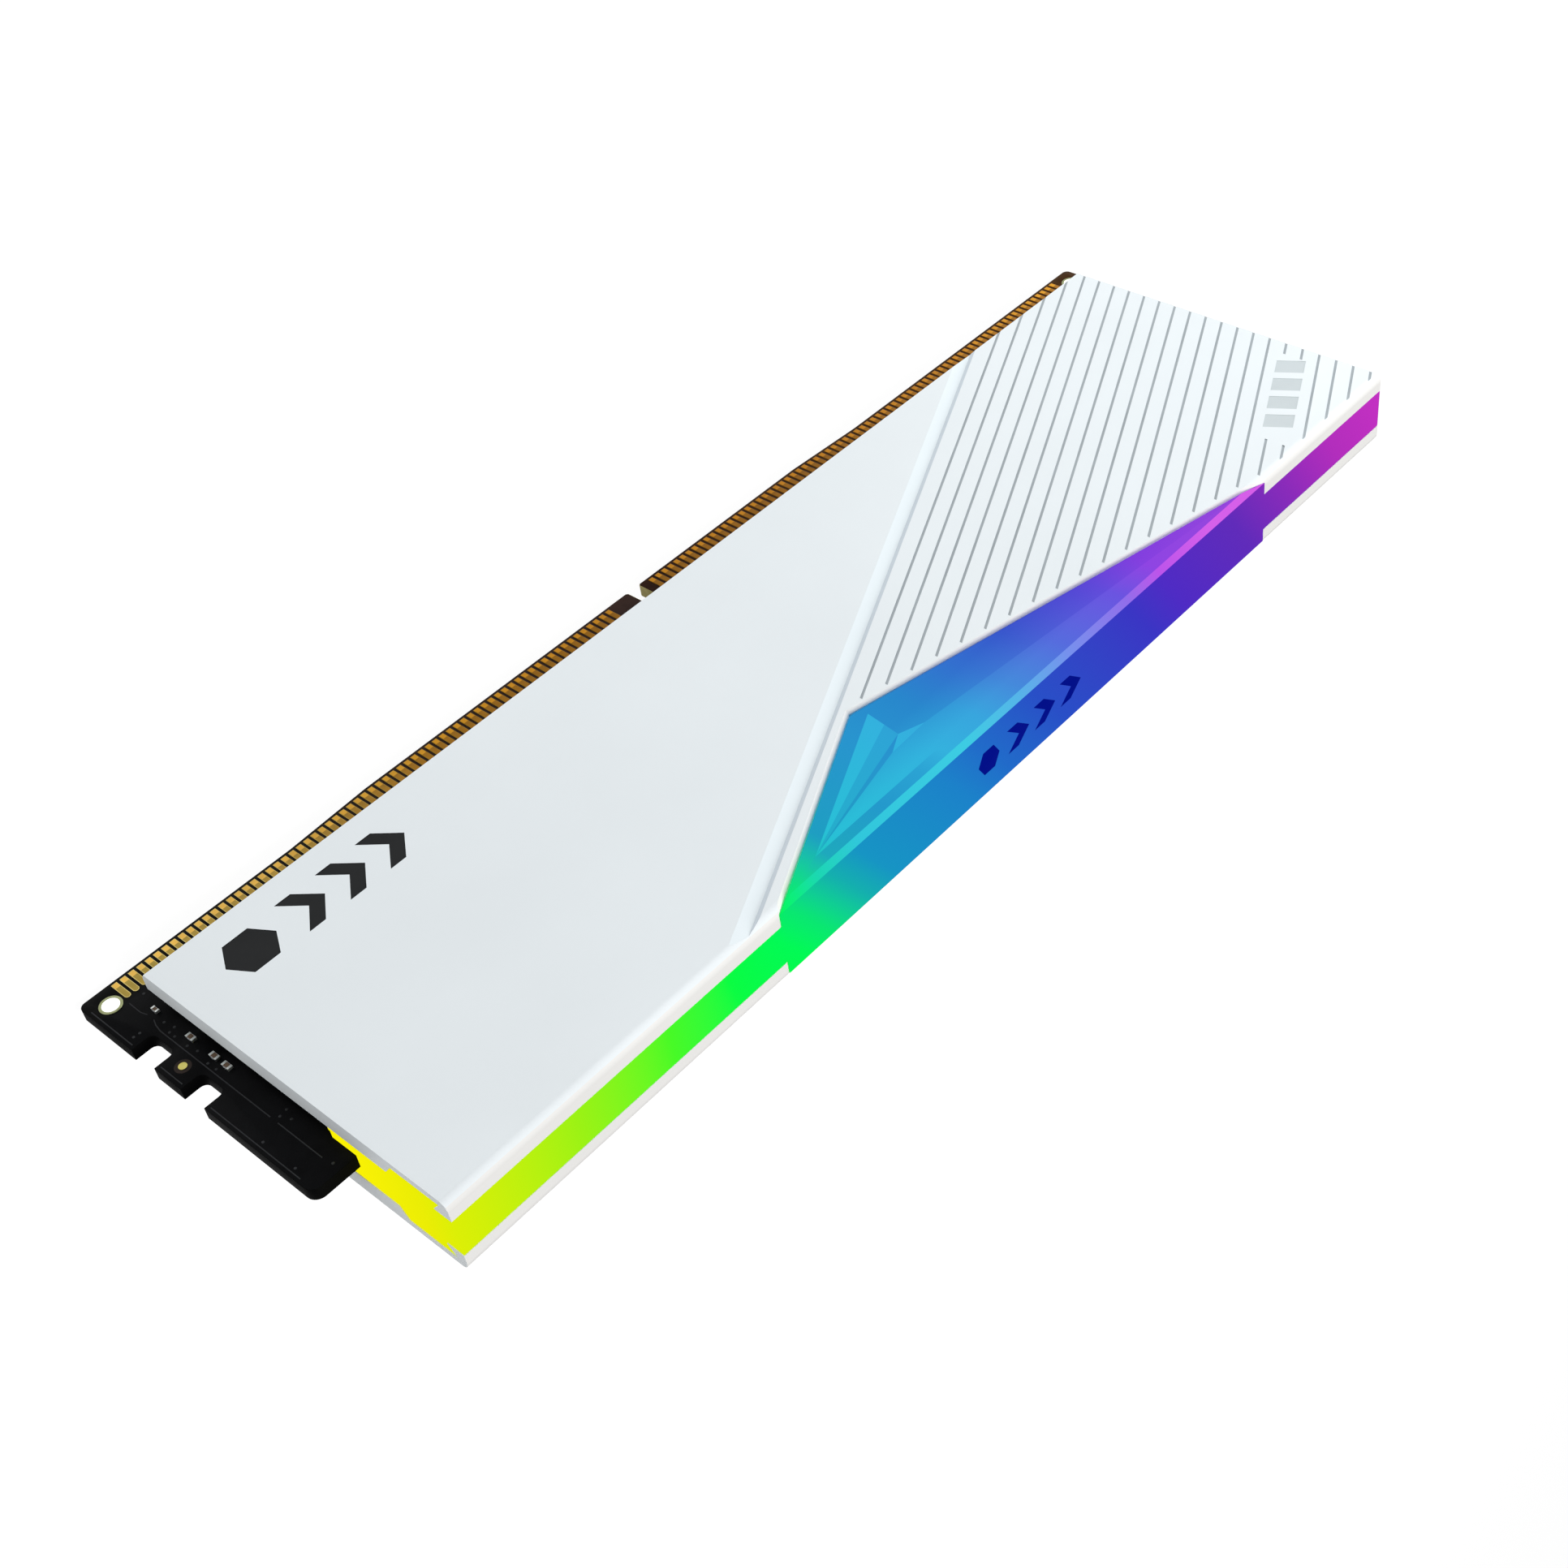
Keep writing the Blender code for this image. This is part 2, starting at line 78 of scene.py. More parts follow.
def loft(bm, axis, levels, slot=0):
    """A closed body through outlines with equal corner counts; levels is [(outline, position), ...]."""
    rings = [[bm.verts.new(place(axis, at, p, q)) for p, q in outline] for outline, at in levels]
    faces = [bm.faces.new(rings[0]), bm.faces.new(list(reversed(rings[-1])))]
    count = len(rings[0])
    for low, high in zip(rings, rings[1:]):
        for i in range(count):
            j = (i + 1) % count
            faces.append(bm.faces.new((low[j], low[i], high[i], high[j])))
    for face in faces:
        face.material_index = slot
    return faces


def made(name, bm, *mats):
    bmesh.ops.recalc_face_normals(bm, faces=bm.faces[:])
    mesh = bpy.data.meshes.new(name)
    bm.to_mesh(mesh)
    bm.free()
    for mat in mats:
        mesh.materials.append(mat)
    obj = bpy.data.objects.new(name, mesh)
    bpy.context.scene.collection.objects.link(obj)
    return obj


def settle(obj):
    """Applies every modifier and returns the same object with its final mesh."""
    bpy.context.view_layer.update()
    graph = bpy.context.evaluated_depsgraph_get()
    mesh = bpy.data.meshes.new_from_object(obj.evaluated_get(graph), depsgraph=graph)
    old = obj.data
    obj.modifiers.clear()
    obj.data = mesh
    bpy.data.meshes.remove(old)
    return obj


def combine(obj, other, operation):
    step = obj.modifiers.new("join", "BOOLEAN")
    step.operation = operation
    step.solver = "EXACT"
    step.material_mode = "TRANSFER"
    step.object = other
    settle(obj)
    bpy.data.objects.remove(other)


def bevel(obj, width, segments=2, angle=28):
    step = obj.modifiers.new("edge", "BEVEL")
    step.width = width * MM
    step.segments = segments
    step.limit_method = "ANGLE"
    step.angle_limit = math.radians(angle)
    step.harden_normals = False
    settle(obj)


def shade(obj, angle=28):
    """Smooth shading with edges sharper than the angle kept crisp."""
    mesh = obj.data
    bm = bmesh.new()
    bm.from_mesh(mesh)
    limit = math.radians(angle)
    for face in bm.faces:
        face.smooth = True
    for edge in bm.edges:
        if len(edge.link_faces) == 2:
            edge.smooth = edge.calc_face_angle(0.0) < limit
    bm.to_mesh(mesh)
    bm.free()


def crisp(obj, angle, flat_area):
    """Smooth shading across narrow faces only; faces larger than flat_area mm2 stay flat."""
    shade(obj, angle)
    for polygon in obj.data.polygons:
        if polygon.area > flat_area * MM * MM:
            polygon.use_smooth = False


def arc(cx, cz, radius, start, end, steps):
    points = []
    for i in range(steps + 1):
        a = math.radians(start + (end - start) * i / steps)
        points.append((cx + radius * math.cos(a), cz + radius * math.sin(a)))
    return points


def piece(obj, slot, *nodes):
    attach(obj, "root")
    if nodes:
        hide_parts(*nodes)
    return obj


# ---------------------------------------------------------------- materials
def linear(rgb):
    return tuple(c / 12.92 if c <= 0.04045 else ((c + 0.055) / 1.055) ** 2.4 for c in rgb) + (1.0,)


def shader(name, colour, metallic=0.0, roughness=0.5, specular=0.5):
    mat = bpy.data.materials.new(name)
    mat.use_nodes = True
    node = mat.node_tree.nodes["Principled BSDF"]
    node.inputs["Base Color"].default_value = linear(colour)
    node.inputs["Metallic"].default_value = metallic
    node.inputs["Roughness"].default_value = roughness
    node.inputs["Specular IOR Level"].default_value = specular
    return mat, mat.node_tree.nodes, mat.node_tree.links, node


def noise(nodes, links, scale, detail=3.0, rough=0.55):
    coords = nodes.new("ShaderNodeTexCoord")
    made_noise = nodes.new("ShaderNodeTexNoise")
    made_noise.inputs["Scale"].default_value = scale
    made_noise.inputs["Detail"].default_value = detail
    made_noise.inputs["Roughness"].default_value = rough
    links.new(coords.outputs["Object"], made_noise.inputs["Vector"])
    return made_noise


def remap(nodes, links, source, low, high, out_low=0.0, out_high=1.0):
    """The source's range low..high carried to out_low..out_high."""
    made_range = nodes.new("ShaderNodeMapRange")
    made_range.inputs["From Min"].default_value = low
    made_range.inputs["From Max"].default_value = high
    made_range.inputs["To Min"].default_value = out_low
    made_range.inputs["To Max"].default_value = out_high
    links.new(source, made_range.inputs["Value"])
    return made_range.outputs["Result"]


def emboss(nodes, links, node, height, strength):
    relief = nodes.new("ShaderNodeBump")
    relief.inputs["Strength"].default_value = strength
    relief.inputs["Distance"].default_value = BUMP_DISTANCE
    links.new(height, relief.inputs["Height"])
    links.new(relief.outputs["Normal"], node.inputs["Normal"])


def blend(nodes, links, factor, first, second):
    """The first colour where the factor is 0, the second where it is 1."""
    mix = nodes.new("ShaderNodeMix")
    mix.data_type = "RGBA"
    links.new(factor, mix.inputs["Factor"])
    for source, name in ((first, "A"), (second, "B")):
        if isinstance(source, tuple):
            mix.inputs[name].default_value = source
        else:
            links.new(source, mix.inputs[name])
    return mix.outputs["Result"]


def lit(mat, rgb, strength):
    node = mat.node_tree.nodes["Principled BSDF"]
    node.inputs["Emission Color"].default_value = linear(rgb)
    node.inputs["Emission Strength"].default_value = strength


def ramp(nodes, links, source, stops):
    made_ramp = nodes.new("ShaderNodeValToRGB")
    elements = made_ramp.color_ramp.elements
    while len(elements) > 1:
        elements.remove(elements[-1])
    elements[0].position = stops[0][0]
    elements[0].color = stops[0][1]
    for at, colour in stops[1:]:
        element = elements.new(at)
        element.color = colour
    links.new(source, made_ramp.inputs["Fac"])
    return made_ramp


def textured(name, colour, spread, metallic, roughness, rough_spread, scale, bump, depth,
             specular=0.5):
    """A finish whose colour, gloss and surface all vary a little with a fine noise."""
    mat, nodes, links, node = shader(name, colour, metallic, roughness, specular)
    coarse = noise(nodes, links, scale, 3.0, 0.5)
    low = linear([max(0.0, c - spread) for c in colour])
    high = linear([min(1.0, c + spread) for c in colour])
    tint = ramp(nodes, links, coarse.outputs["Fac"], [(0.3, low), (0.7, high)])
    links.new(tint.outputs["Color"], node.inputs["Base Color"])
    low_gloss, high_gloss = roughness - rough_spread, roughness + rough_spread
    gloss = remap(nodes, links, coarse.outputs["Fac"], 0.0, 1.0, low_gloss, high_gloss)
    links.new(gloss, node.inputs["Roughness"])
    fine = noise(nodes, links, bump, 2.0, 0.5)
    emboss(nodes, links, node, fine.outputs["Fac"], depth)
    return mat


def span_ramp(nodes, links, position, stops):
    """A ramp over a position along the module; stops is a list of (x in mm, sRGB)."""
    span = remap(nodes, links, position, -COLOUR_SPAN * MM, COLOUR_SPAN * MM)
    points = [((x + COLOUR_SPAN) / (2 * COLOUR_SPAN), linear(rgb)) for x, rgb in sorted(stops)]
    return ramp(nodes, links, span, points)


def along_x(nodes, links, stops):
    """A colour that changes along the module, and the coordinates it was made from."""
    coords = nodes.new("ShaderNodeTexCoord")
    split = nodes.new("ShaderNodeSeparateXYZ")
    links.new(coords.outputs["Object"], split.inputs["Vector"])
    return span_ramp(nodes, links, split.outputs["X"], stops), split


def speckle(nodes, links, colour, scale, low, high):
    """The colour made a little lighter and darker in a fine noise."""
    grain = noise(nodes, links, scale)
    tones = [(0.3, (low, low, low, 1.0)), (0.7, (high, high, high, 1.0))]
    tone = ramp(nodes, links, grain.outputs["Fac"], tones)
    mix = nodes.new("ShaderNodeMix")
    mix.data_type = "RGBA"
    mix.blend_type = "MULTIPLY"
    mix.inputs["Factor"].default_value = 1.0
    links.new(colour, mix.inputs["A"])
    links.new(tone.outputs["Color"], mix.inputs["B"])
    return mix.outputs["Result"], grain


def plating(name, stops, roughness):
    """Gold plating whose tone changes along the row of contacts."""
    mat, nodes, links, node = shader(name, (0.8, 0.6, 0.2), 1.0, roughness, 0.5)
    tone, _ = along_x(nodes, links, stops)
    colour, grain = speckle(nodes, links, tone.outputs["Color"], 900.0, 0.86, 1.06)
    links.new(colour, node.inputs["Base Color"])
    emboss(nodes, links, node, grain.outputs["Fac"], 0.25)
    return mat


def solder_mask(name, mask_rgb, stops):
    """Black solder mask, which gives way to bare laminate between the contacts."""
    mat, nodes, links, node = shader(name, mask_rgb, 0.0, 0.45, 0.03)
    bare, split = along_x(nodes, links, stops)
    rise = remap(nodes, links, split.outputs["Z"], 3.2 * MM, 3.3 * MM)
    both = blend(nodes, links, rise, bare.outputs["Color"], linear(mask_rgb))
    colour, _ = speckle(nodes, links, both, 700.0, 0.75, 1.25)
    links.new(colour, node.inputs["Base Color"])
    weave = noise(nodes, links, 5200.0, 2.0, 0.5)
    emboss(nodes, links, node, weave.outputs["Fac"], 0.3)
    return mat


def glow(name, bands, tilt, lift_axis=None, sway=0.0):
    """Lit acrylic. The colour runs along the bar; bands is one or two lists of (x in mm, sRGB) stops,
    and with two, the second takes over between the heights in lift_axis. tilt moves the colour with
    height and sway with depth; sway fades out before the bar's yellow end."""
    mat, nodes, links, node = shader(name, (0.0, 0.0, 0.0), 0.0, 0.3, 0.0)
    coords = nodes.new("ShaderNodeTexCoord")
    split = nodes.new("ShaderNodeSeparateXYZ")
    links.new(coords.outputs["Object"], split.inputs["Vector"])
    height = nodes.new("ShaderNodeMath")
    height.operation = "MULTIPLY_ADD"
    height.inputs[1].default_value = -tilt
    height.inputs[2].default_value = tilt * TOP * MM
    links.new(split.outputs["Z"], height.inputs[0])
    along = nodes.new("ShaderNodeMath")
    along.operation = "ADD"
    links.new(split.outputs["X"], along.inputs[0])
    links.new(height.outputs[0], along.inputs[1])
    fade = remap(nodes, links, split.outputs["X"], 26.0 * MM, 36.0 * MM, sway, 0.0)
    depth = nodes.new("ShaderNodeMath")
    depth.operation = "MULTIPLY_ADD"
    links.new(split.outputs["Y"], depth.inputs[0])
    links.new(fade, depth.inputs[1])
    links.new(along.outputs[0], depth.inputs[2])
    shades = [span_ramp(nodes, links, depth.outputs[0], band).outputs["Color"] for band in bands]
    colour = shades[0]
    if len(shades) > 1:
        rise = remap(nodes, links, split.outputs["Z"], lift_axis[0] * MM, lift_axis[1] * MM)
        colour = blend(nodes, links, rise, shades[0], shades[1])
    links.new(colour, node.inputs["Emission Color"])
    node.inputs["Emission Strength"].default_value = 1.0
    frost = noise(nodes, links, 2600.0, 2.0, 0.5)
    emboss(nodes, links, node, frost.outputs["Fac"], 0.08)
    return mat


BAR_BAND = [
    (75, (0.99, 0.95, 0.02)), (66, (0.92, 0.93, 0.02)), (61, (0.84, 0.94, 0.03)), (50, (0.61, 0.95, 0.08)),
    (40, (0.28, 0.98, 0.15)), (33, (0.04, 0.99, 0.26)), (27, (0.01, 0.98, 0.33)), (23.5, (0.04, 0.90, 0.45)),
    (19, (0.08, 0.69, 0.68)), (15.5, (0.09, 0.58, 0.77)), (5, (0.11, 0.51, 0.79)), (0, (0.13, 0.42, 0.79)),
    (-8, (0.16, 0.31, 0.78)), (-22, (0.23, 0.21, 0.77)), (-27, (0.31, 0.17, 0.77)), (-38, (0.38, 0.17, 0.73)),
    (-46, (0.54, 0.17, 0.73)), (-54, (0.70, 0.18, 0.74)), (-62, (0.76, 0.19, 0.76)),
]
# Crystal bands: the glow is the bar's own light, and its lighter and darker steps from facet to facet are
# painted highlight and painted shade.
SHADED_FACET_BAND = [
    (27, (0.02, 0.98, 0.34)), (24, (0.06, 0.88, 0.50)), (19, (0.12, 0.62, 0.76)), (8, (0.16, 0.58, 0.81)),
    (2, (0.16, 0.53, 0.80)), (-4, (0.20, 0.44, 0.81)), (-10, (0.22, 0.34, 0.80)), (-18, (0.30, 0.26, 0.82)),
    (-26, (0.46, 0.22, 0.86)), (-40, (0.56, 0.26, 0.84)),
]
LIT_FACET_BAND = [
    (27, (0.02, 0.98, 0.34)), (24, (0.07, 0.88, 0.52)), (21, (0.12, 0.78, 0.74)), (18, (0.16, 0.75, 0.84)),
    (6, (0.20, 0.70, 0.87)), (0, (0.22, 0.65, 0.87)), (-5, (0.27, 0.54, 0.86)), (-12, (0.34, 0.42, 0.87)),
    (-20, (0.42, 0.33, 0.88)), (-25, (0.56, 0.27, 0.89)), (-40, (0.60, 0.28, 0.86)),
]
MID_BAND = [
    (27, (0.02, 0.98, 0.34)), (24, (0.065, 0.88, 0.51)), (21, (0.12, 0.71, 0.75)), (18, (0.145, 0.68, 0.80)),
    (6, (0.18, 0.645, 0.84)), (0, (0.20, 0.58, 0.84)),
]
RIM_BAND = [
    (27, (0.02, 0.98, 0.34)), (24, (0.06, 0.88, 0.50)), (20, (0.12, 0.66, 0.74)), (13, (0.14, 0.60, 0.80)),
    (8, (0.17, 0.64, 0.83)), (5, (0.205, 0.695, 0.87)), (0, (0.22, 0.65, 0.87)),
]
STRIPE_BAND = [
    (27, (0.02, 0.98, 0.34)), (24.5, (0.06, 0.92, 0.52)), (22, (0.11, 0.84, 0.70)), (17, (0.19, 0.78, 0.86)),
    (3, (0.24, 0.80, 0.89)), (-4, (0.33, 0.71, 0.91)), (-11, (0.46, 0.57, 0.93)), (-20, (0.57, 0.43, 0.92)),
    (-25, (0.74, 0.33, 0.92)), (-33, (0.84, 0.38, 0.92)), (-41, (0.84, 0.37, 0.91)),
]


def white_paint(name, colour, spread=0.006):
    return textured(name, colour, spread, 0.0, 0.50, 0.03, 60.0, 9000.0, 0.10, 0.08)


PAINT = white_paint("white_paint", (0.905, 0.925, 0.935))
# A warmer copy of the white paint: a painted light tone for the plate's top band, window walls and chamfer.
PAINT_WARM_LIGHT = white_paint("white_paint_painted_warm_light", (0.905, 0.899, 0.888))
# The groove's two facets get a lit and a shaded copy of the white paint: a painted highlight on the plain
# facet and painted shade on the lined facet.
GROOVE_PAINTED_HIGHLIGHT = white_paint("groove_painted_highlight", (0.908, 0.938, 0.952), 0.004)
GROOVE_PAINTED_SHADE = white_paint("groove_painted_shade", (0.80, 0.835, 0.865))
LINE_GREY = textured("line_grey", (0.66, 0.69, 0.71), 0.02, 0.0, 0.5, 0.04, 200.0, 8000.0, 0.1)
MARK_BLACK = textured("mark_black", (0.115, 0.12, 0.125), 0.01, 0.0, 0.5, 0.04, 300.0, 8000.0, 0.1, 0.1)
BADGE_GREY = textured("badge_grey", (0.77, 0.80, 0.81), 0.01, 0.0, 0.45, 0.04, 300.0, 8000.0, 0.1)
MASK = solder_mask("solder_mask", (0.036, 0.038, 0.045), [
    (64, (0.05, 0.05, 0.045)), (45, (0.09, 0.075, 0.05)), (30, (0.16, 0.10, 0.06)), (5, (0.17, 0.095, 0.07)),
    (-20, (0.24, 0.14, 0.04)), (-60, (0.25, 0.15, 0.04)),
])
# The board edge's near-black is partly the laminate's own dark colour and partly painted shade.
BOARD_SIDE = textured("board_side", (0.03, 0.03, 0.032), 0.01, 0.0, 0.7, 0.05, 400.0, 5200.0, 0.3, 0.03)
BARE_EDGE = textured("routed_laminate", (0.60, 0.56, 0.36), 0.05, 0.0, 0.7, 0.05, 900.0, 5200.0, 0.4, 0.1)
TRACE = textured("covered_trace", (0.165, 0.17, 0.18), 0.02, 0.0, 0.45, 0.05, 900.0, 5200.0, 0.2, 0.1)
PAD_RING = textured("bare_ring", (0.17, 0.135, 0.12), 0.02, 0.0, 0.6, 0.05, 900.0, 5200.0, 0.2, 0.1)
GOLD_BRIGHT = plating("gold_lead_in", [
    (63, (0.92, 0.74, 0.35)), (48, (0.84, 0.66, 0.30)), (38, (0.81, 0.61, 0.22)), (28, (0.77, 0.54, 0.12)),
    (10, (0.74, 0.50, 0.09)), (-20, (0.72, 0.47, 0.07)), (-45, (0.76, 0.50, 0.08)), (-61, (0.87, 0.61, 0.11)),
], 0.34)
GOLD_DEEP = plating("gold_face", [
    (63, (0.64, 0.55, 0.26)), (45, (0.62, 0.50, 0.22)), (30, (0.58, 0.40, 0.10)), (10, (0.54, 0.36, 0.06)),
    (-20, (0.54, 0.35, 0.05)), (-61, (0.66, 0.44, 0.08)),
], 0.34)
GOLD_RIM = plating("gold_rim", [
    (63, (0.86, 0.79, 0.50)), (48, (0.78, 0.68, 0.38)), (30, (0.58, 0.45, 0.14)), (0, (0.46, 0.32, 0.07)),
    (-61, (0.56, 0.36, 0.07)),
], 0.40)
GOLD_PAD = textured("gold_test_pad", (0.74, 0.70, 0.38), 0.05, 1.0, 0.34, 0.06, 900.0, 6000.0, 0.3)
LAND = textured("hole_land", (0.60, 0.62, 0.46), 0.05, 1.0, 0.42, 0.06, 500.0, 6000.0, 0.3)
# The barrel's white colour and glow are painted light that makes the hole read bright. They are not the
# plating's own colour.
BARREL_PAINTED_GLOW = textured("hole_barrel_painted_glow", (0.97, 0.97, 0.95), 0.02, 0.0, 0.30, 0.06, 500.0, 6000.0, 0.2)
lit(BARREL_PAINTED_GLOW, (0.97, 0.98, 0.98), 0.45)
TIN = textured("tinned_end", (0.80, 0.82, 0.81), 0.05, 1.0, 0.36, 0.08, 900.0, 6000.0, 0.3)
ALUMINA = textured("alumina_body", (0.72, 0.73, 0.74), 0.04, 0.0, 0.5, 0.06, 900.0, 6000.0, 0.3, 0.2)
CERAMIC = textured("brown_ceramic", (0.40, 0.32, 0.25), 0.05, 0.0, 0.5, 0.06, 900.0, 6000.0, 0.3, 0.2)
MOULD = textured("chip_mould", (0.10, 0.10, 0.105), 0.015, 0.0, 0.55, 0.05, 500.0, 4200.0, 0.5)
GAP_PAD = textured("gap_pad", (0.52, 0.57, 0.62), 0.03, 0.0, 0.85, 0.04, 300.0, 2500.0, 0.6)
RESIN = textured("led_resin", (0.88, 0.88, 0.80), 0.03, 0.0, 0.3, 0.05, 500.0, 3000.0, 0.2)
BAR_GLOW = glow("bar_glow", [BAR_BAND], 0.95, sway=0.7)
# Crystal facet materials: painted highlight and painted shade on the one glow. Two of them go from painted
# shade low down to painted highlight higher up.
SHADE_TO_LIGHT_HIGH_GLOW = glow("crystal_painted_shade_to_highlight_high", [SHADED_FACET_BAND, LIT_FACET_BAND], 0.0, (36.0, 43.5))
SHADE_TO_LIGHT_LOW_GLOW = glow("crystal_painted_shade_to_highlight_low", [SHADED_FACET_BAND, LIT_FACET_BAND], 0.0, (34.0, 40.5))
LIT_FACET_GLOW = glow("crystal_painted_highlight", [LIT_FACET_BAND], 0.0)
SHADED_FACET_GLOW = glow("crystal_painted_shade", [SHADED_FACET_BAND], 0.0)
STRIPE_GLOW = glow("crystal_stripe", [STRIPE_BAND], 0.0)
RIM_GLOW = glow("crystal_rim", [RIM_BAND], 0.0)
MID_GLOW = glow("crystal_mid", [MID_BAND], 0.0)
NAVY = textured("mark_navy", (0.01, 0.03, 0.30), 0.01, 0.0, 0.4, 0.04, 300.0, 8000.0, 0.1, 0.0)
lit(NAVY, (0.01, 0.05, 0.50), 0.8)


# ---------------------------------------------------------------- heat spreaders
def plate_profile():
    points = [
        (-PLATE_INNER, PLATE_FOOT), (-PLATE_INNER, STEP_LOW), (-THIN_INNER, STEP_HIGH),
        (-THIN_INNER, BARB_HIGH), (-PLATE_INNER - 0.05, BARB_LOW), (-PLATE_INNER, BARB_LOW + 0.1),
        (-PLATE_INNER, TOP),
    ]
    points += arc(-PLATE_OUTER + TOP_RADIUS, TOP - TOP_RADIUS, TOP_RADIUS, 90, 180, 14)
    points += [(-PLATE_OUTER, FACE_FOOT), (-PLATE_OUTER + FOOT_INSET, PLATE_FOOT)]
    return points


def hairlines():
    """Engraved lines as (index, start, end) in x, broken where the badge sits."""
    rise = (TOP - APEX[1]) / (LEFT - APEX[0])
    zero = APEX[1] - rise * APEX[0] - 0.8
    for n in range(LINE_COUNT):
        height = LINE_FIRST + LINE_STEP * n
        start = max(-PLATE_HALF - 0.3, (PLATE_FOOT - height) / LINE_RISE)
        end = min((TOP - 0.45 - height) / LINE_RISE, (zero - height) / (LINE_RISE - rise))
        if n in (17, 18):
            yield n, start, BADGE_FROM
            yield n, BADGE_TO, end
        else:
            yield n, start, end


def chevron(x, z, w, h, thick):
    """An arrowhead stroke pointing to -x."""
    return [(x, z), (x + w, z + h), (x + w + thick, z + h),
            (x + thick, z), (x + w + thick, z - h), (x + w, z - h)]


def generic_mark(x0, z0, length, height):
    """A plain geometric device: a hexagon and three arrow strokes."""
    r = height / 2
    shapes = [[(x0 + length - r + r * math.cos(math.radians(a)), z0 + r * math.sin(math.radians(a)))
               for a in range(0, 360, 60)]]
    free = length - 2.3 * r
    for i in range(3):
        shapes.append(chevron(x0 + free * i / 3, z0, free * 0.14, r * 0.92, free * 0.13))
    return shapes


def build_plate(name, side, node, slot_name):
    bm = bmesh.new()
    profile = [(-side * y, z) for y, z in plate_profile()]
    loft(bm, "x", [(profile, -PLATE_HALF), (profile, PLATE_HALF)])
    plate = made(name, bm, PAINT, PAINT_WARM_LIGHT, GROOVE_PAINTED_HIGHLIGHT, GROOVE_PAINTED_SHADE, LINE_GREY, MARK_BLACK, BADGE_GREY)
    slack = 0.08
    window = [(APEX[0], APEX[1] - slack), (RIGHT + 4 * slack, TOP + slack), (RIGHT + 2.2, TOP + 1.2),
              (LEFT - 5.0, TOP + 1.2), (LEFT - 5 * slack, TOP + slack)]
    flare = 0.30
    wide = [(APEX[0], APEX[1] - slack - flare * 1.15), (RIGHT + 4 * slack + flare * 2.1, TOP + slack),
            (RIGHT + 2.2 + flare, TOP + 1.2), (LEFT - 5.0 - flare, TOP + 1.2),
            (LEFT - 5 * slack - flare * 4.4, TOP + slack)]
    bm = bmesh.new()
    levels = [(window, 1.0), (window, PLATE_OUTER - flare), (wide, PLATE_OUTER), (wide, 6.0)]
    loft(bm, "y", [(outline, side * at) for outline, at in levels])
    # The window's walls and chamfer carry the warmer paint copy, a painted light tone.
    combine(plate, made("window", bm, PAINT_WARM_LIGHT), "DIFFERENCE")
    bevel(plate, 0.06, 3, 40)
    proud = 0.35
    sections = []
    for x in (-56.0, 44.0):
        z = GROOVE_ZERO + GROOVE_RISE * x
        plain = GROOVE_PLAIN * (1 + proud / GROOVE_DEPTH)
        lined = GROOVE_LINED * (1 + proud / GROOVE_DEPTH)
        floor_y, open_y = side * (PLATE_OUTER - GROOVE_DEPTH), side * (PLATE_OUTER + proud)
        sections.append(([(floor_y, z), (open_y, z - plain), (open_y, z + lined)], x))
    bm = bmesh.new()
    sides = loft(bm, "x", sections)[2:]
    # The lined facet takes the painted shade, and the plain facet keeps the painted highlight.
    sides[2].material_index = 1
    combine(plate, made("groove", bm, GROOVE_PAINTED_HIGHLIGHT, GROOVE_PAINTED_SHADE), "DIFFERENCE")
    bm = bmesh.new()
    for n, start, end in hairlines():
        low = LINE_FIRST + LINE_STEP * n + LINE_RISE * start
        high = LINE_FIRST + LINE_STEP * n + LINE_RISE * end
        outline = [(start, low - LINE_HALF), (end, high - LINE_HALF),
                   (end, high + LINE_HALF), (start, low + LINE_HALF)]
        loft(bm, "y", [(outline, side * (PLATE_OUTER - LINE_DEPTH)),
                       (outline, side * (PLATE_OUTER + CUT_CLEAR))])
    combine(plate, made("lines", bm, LINE_GREY), "DIFFERENCE")
    deep, proud_y = side * (PLATE_OUTER - MARK_DEPTH), side * (PLATE_OUTER + CUT_CLEAR)
    bm = bmesh.new()
    for shape in generic_mark(38.9, 10.6, 19.0, 5.2):
        loft(bm, "y", [(shape, deep), (shape, proud_y)])
    combine(plate, made("mark", bm, MARK_BLACK), "DIFFERENCE")
    bm = bmesh.new()
    for i in range(4):
        x = -59.2 + i * 2.85
        shape = [(x + across, 62.0 + up + LINE_RISE * (x + across))
                 for across, up in ((0.0, 0.0), (1.9, 0.0), (0.5, 3.2), (-1.4, 3.2))]
        loft(bm, "y", [(shape, deep), (shape, proud_y)])
    combine(plate, made("badge", bm, BADGE_GREY), "DIFFERENCE")
    crisp(plate, 20, 20.0)
    # Faces turned up take the warmer paint copy, a painted light tone on the top band.
    for polygon in plate.data.polygons:
        if polygon.normal.z > 0.8 and polygon.material_index == 0:
            polygon.material_index = 1
    return piece(plate, slot_name, node)


build_plate("plate_front", -1, "heat_spreader_front", "plate_front")
build_plate("plate_back", 1, "heat_spreader_back", "plate_back")


# ---------------------------------------------------------------- light bar and crystals
def bar_profile():
    half = [
        (1.62, BOARD_TOP + 0.05), (1.62, BAR_FOOT), (BAR_CORE, BAR_FOOT), (BAR_CORE, STEP_LOW + 0.04),
        (BAR_FLANGE, STEP_HIGH + 0.04), (BAR_FLANGE, BARB_HIGH - 0.13), (BAR_CORE, BARB_LOW - 0.17),
        (BAR_CORE, TOP - 0.02), (BAR_CORE - 0.02, TOP),
    ]
    return half + [(-y, z) for y, z in reversed(half)]


